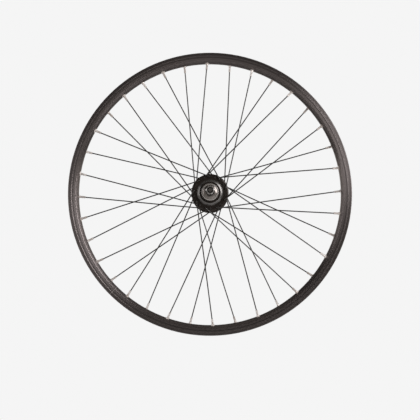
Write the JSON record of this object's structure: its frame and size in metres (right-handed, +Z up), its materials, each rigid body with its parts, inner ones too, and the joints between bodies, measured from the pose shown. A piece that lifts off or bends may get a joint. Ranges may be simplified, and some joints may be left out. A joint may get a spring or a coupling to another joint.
{
  "type": "bicycle wheel",
  "caption": "Bare rear bicycle wheel: double wall rim laced with crossed wire spokes to a high flange hub that spins on a nutted axle.",
  "frame": {"origin": "the wheel's centre, on the axle and midway across the rim and the axle's length", "axes": "+Z up, the axle along Y with the drive side at -Y, +X to the right seen from the drive side"},
  "size_m": [0.571, 0.174, 0.571],
  "materials": {
    "rim_black": "satin black anodised",
    "hub_black": "black with turned silver ring and boss",
    "spoke_black": "black coated wire",
    "nipple_silver": "nickel plated",
    "eyelet_silver": "nickel plated",
    "bearing_steel": "ground steel",
    "ball_steel": "polished",
    "cap_silver": "plated pressed sheet",
    "spacer_steel": "dull plated",
    "axle_steel": "dark threaded",
    "nut_steel": "zinc plated",
    "washer_steel": "dark plated"
  },
  "bodies": {
    "axle_set": {"axle": "axle_steel", "cone_drive": "bearing_steel", "cone_left": "bearing_steel", "spacer_drive": "spacer_steel", "spacer_left": "spacer_steel", "lock_washers": "washer_steel", "locknuts": "nut_steel", "axle_washers": "washer_steel", "axle_nuts": "nut_steel"},
    "wheel": {"rim": "rim_black", "hub_shell": "hub_black", "spoke_01": "spoke_black", "spoke_02": "spoke_black", "spoke_03": "spoke_black", "spoke_04": "spoke_black", "spoke_05": "spoke_black", "spoke_06": "spoke_black", "spoke_07": "spoke_black", "spoke_08": "spoke_black", "spoke_09": "spoke_black", "spoke_10": "spoke_black", "spoke_11": "spoke_black", "spoke_12": "spoke_black", "spoke_13": "spoke_black", "spoke_14": "spoke_black", "spoke_15": "spoke_black", "spoke_16": "spoke_black", "spoke_17": "spoke_black", "spoke_18": "spoke_black", "spoke_19": "spoke_black", "spoke_20": "spoke_black", "spoke_21": "spoke_black", "spoke_22": "spoke_black", "spoke_23": "spoke_black", "spoke_24": "spoke_black", "spoke_25": "spoke_black", "spoke_26": "spoke_black", "spoke_27": "spoke_black", "spoke_28": "spoke_black", "spoke_29": "spoke_black", "spoke_30": "spoke_black", "spoke_31": "spoke_black", "spoke_32": "spoke_black", "spoke_33": "spoke_black", "spoke_34": "spoke_black", "spoke_35": "spoke_black", "spoke_36": "spoke_black", "nipples_drive_side": "nipple_silver", "nipples_left_side": "nipple_silver", "eyelets_drive_side": "eyelet_silver", "eyelets_left_side": "eyelet_silver", "bearing_cup_drive": "bearing_steel", "bearing_cup_left": "bearing_steel", "dust_cap_drive": "cap_silver", "dust_cap_left": "cap_silver"},
    "balls_drive": {"bearing_balls_drive": "ball_steel"},
    "balls_left": {"bearing_balls_left": "ball_steel"}
  },
  "joints": [
    {"name": "hub_spin", "type": "hinge", "parent": "axle_set", "child": "wheel", "pos_m": [0, 0, 0], "axis": [0, 1, 0], "continuous": true},
    {"name": "balls_drive_orbit", "type": "hinge", "parent": "axle_set", "child": "balls_drive", "pos_m": [0, 0, 0], "axis": [0, 1, 0], "continuous": true},
    {"name": "balls_left_orbit", "type": "hinge", "parent": "axle_set", "child": "balls_left", "pos_m": [0, 0, 0], "axis": [0, 1, 0], "continuous": true}
  ],
  "couplings": [
    {"joint": "balls_drive_orbit", "follows": "hub_spin", "ratio": 0.61396},
    {"joint": "balls_left_orbit", "follows": "hub_spin", "ratio": 0.61396}
  ]
}
